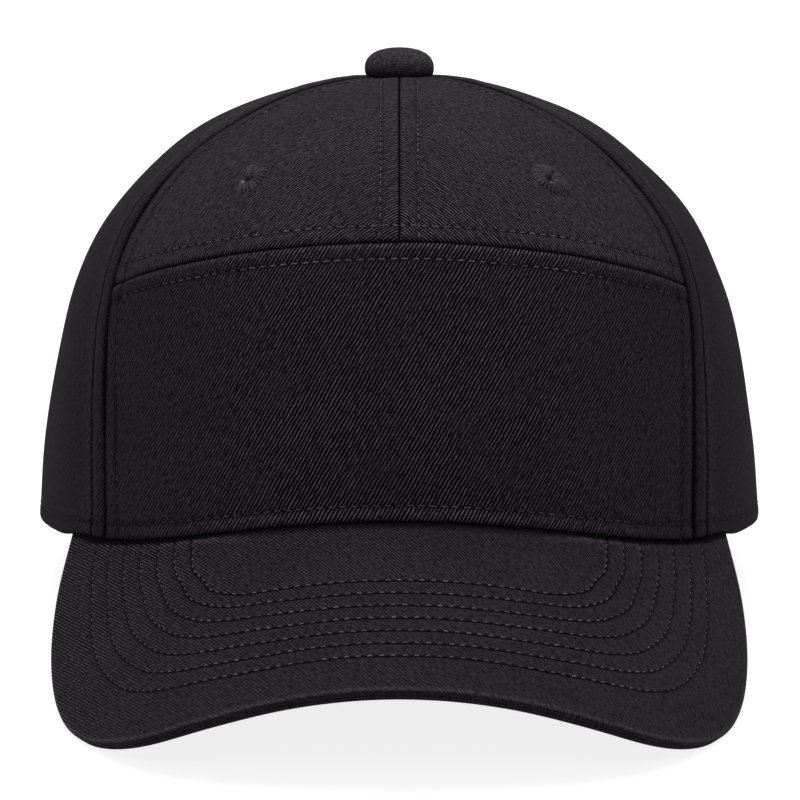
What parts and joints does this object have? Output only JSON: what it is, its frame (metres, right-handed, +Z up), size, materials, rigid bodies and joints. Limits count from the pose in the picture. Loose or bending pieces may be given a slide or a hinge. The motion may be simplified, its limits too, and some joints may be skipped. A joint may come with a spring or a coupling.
{
  "type": "seven-panel cap",
  "caption": "Black cotton twill cap with a structured crown, an arched front seam and a curved, row-stitched peak.",
  "frame": {"origin": "bottom centre of the cap's bounding box, on the surface that it rests on", "axes": "+Z up, -Y towards the peak, +X to the right as the peak is seen from the front"},
  "size_m": [0.176, 0.2651, 0.1301],
  "materials": {
    "front_twill": "black cotton twill with a marked diagonal rib, matt",
    "upper_twill": "black cotton twill, matt",
    "side_twill": "black cotton twill, matt",
    "peak_twill": "black cotton twill with rows of stitches, matt",
    "band_tape": "black woven tape, matt",
    "thread": "black satin-stitched thread",
    "button_cloth": "black cotton twill pulled over a button"
  },
  "bodies": {
    "root": {"front_panel": "front_twill", "upper_panel_left": "upper_twill", "upper_panel_right": "upper_twill", "side_panel_left": "side_twill", "side_panel_right": "side_twill", "back_panel_left": "side_twill", "back_panel_right": "side_twill", "peak": "peak_twill", "sweatband": "band_tape", "eyelet_left": "thread", "eyelet_right": "thread", "button": "button_cloth"}
  },
  "joints": []
}
